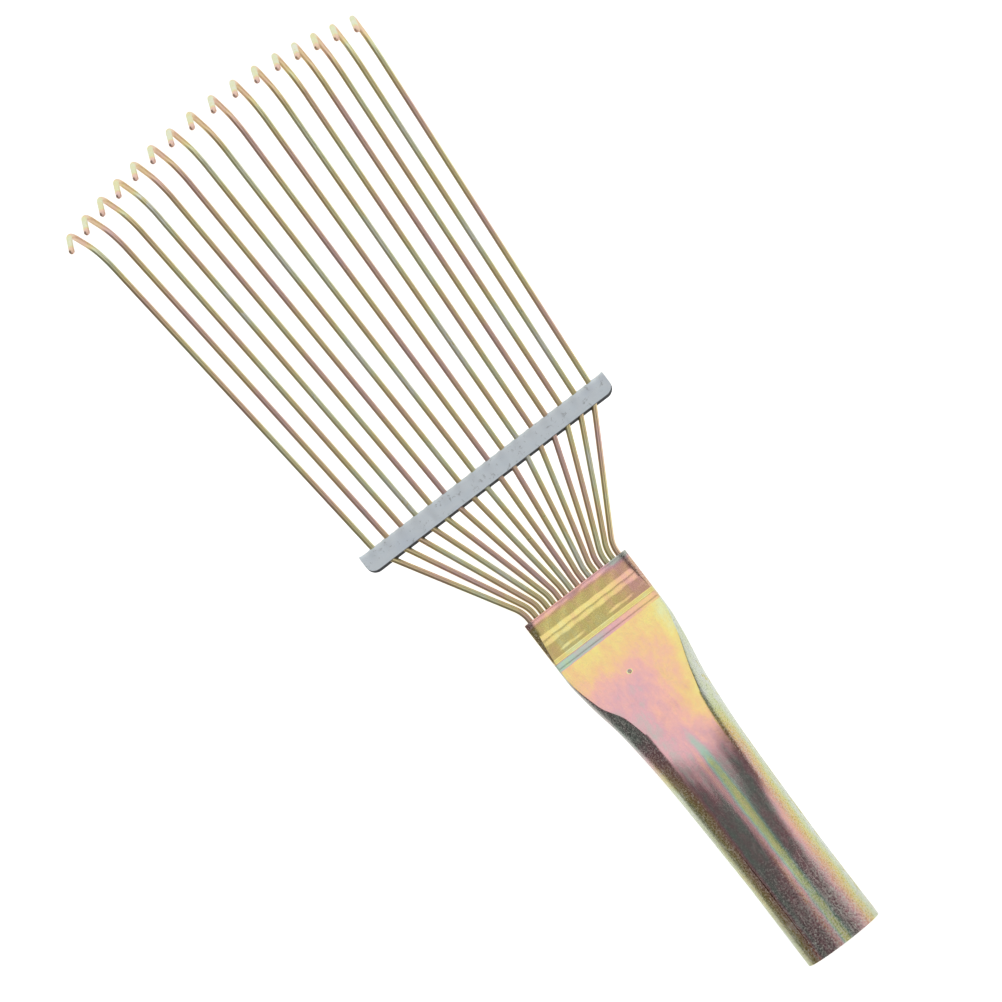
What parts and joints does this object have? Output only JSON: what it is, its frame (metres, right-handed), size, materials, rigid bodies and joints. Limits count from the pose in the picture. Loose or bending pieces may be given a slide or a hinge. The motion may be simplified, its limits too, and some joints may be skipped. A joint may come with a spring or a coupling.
{
  "type": "wire-tine rake head",
  "caption": "Head of a fan rake: spring wire tines with hooked ends, a pressed tube socket for a round pole, and a folded cross bar that spaces the wires.",
  "frame": {"origin": "centre of the socket's open end, on the socket's axis", "axes": "+X along the pole axis towards the tine tips, +Z towards the side the hooks bend to, +Y across the tines"},
  "size_m": [0.3614, 0.1264, 0.0399],
  "materials": {
    "yellow_zinc": "glossy iridescent yellow zinc plating",
    "clear_zinc": "dull pale blue-grey zinc plating"
  },
  "bodies": {
    "root": {"socket": "yellow_zinc", "cross_bar": "clear_zinc", "tine_01": "yellow_zinc", "tine_02": "yellow_zinc", "tine_03": "yellow_zinc", "tine_04": "yellow_zinc", "tine_05": "yellow_zinc", "tine_06": "yellow_zinc", "tine_07": "yellow_zinc", "tine_08": "yellow_zinc", "tine_09": "yellow_zinc", "tine_10": "yellow_zinc", "tine_11": "yellow_zinc", "tine_12": "yellow_zinc", "tine_13": "yellow_zinc", "tine_14": "yellow_zinc", "tine_15": "yellow_zinc", "tine_16": "yellow_zinc"}
  },
  "joints": []
}
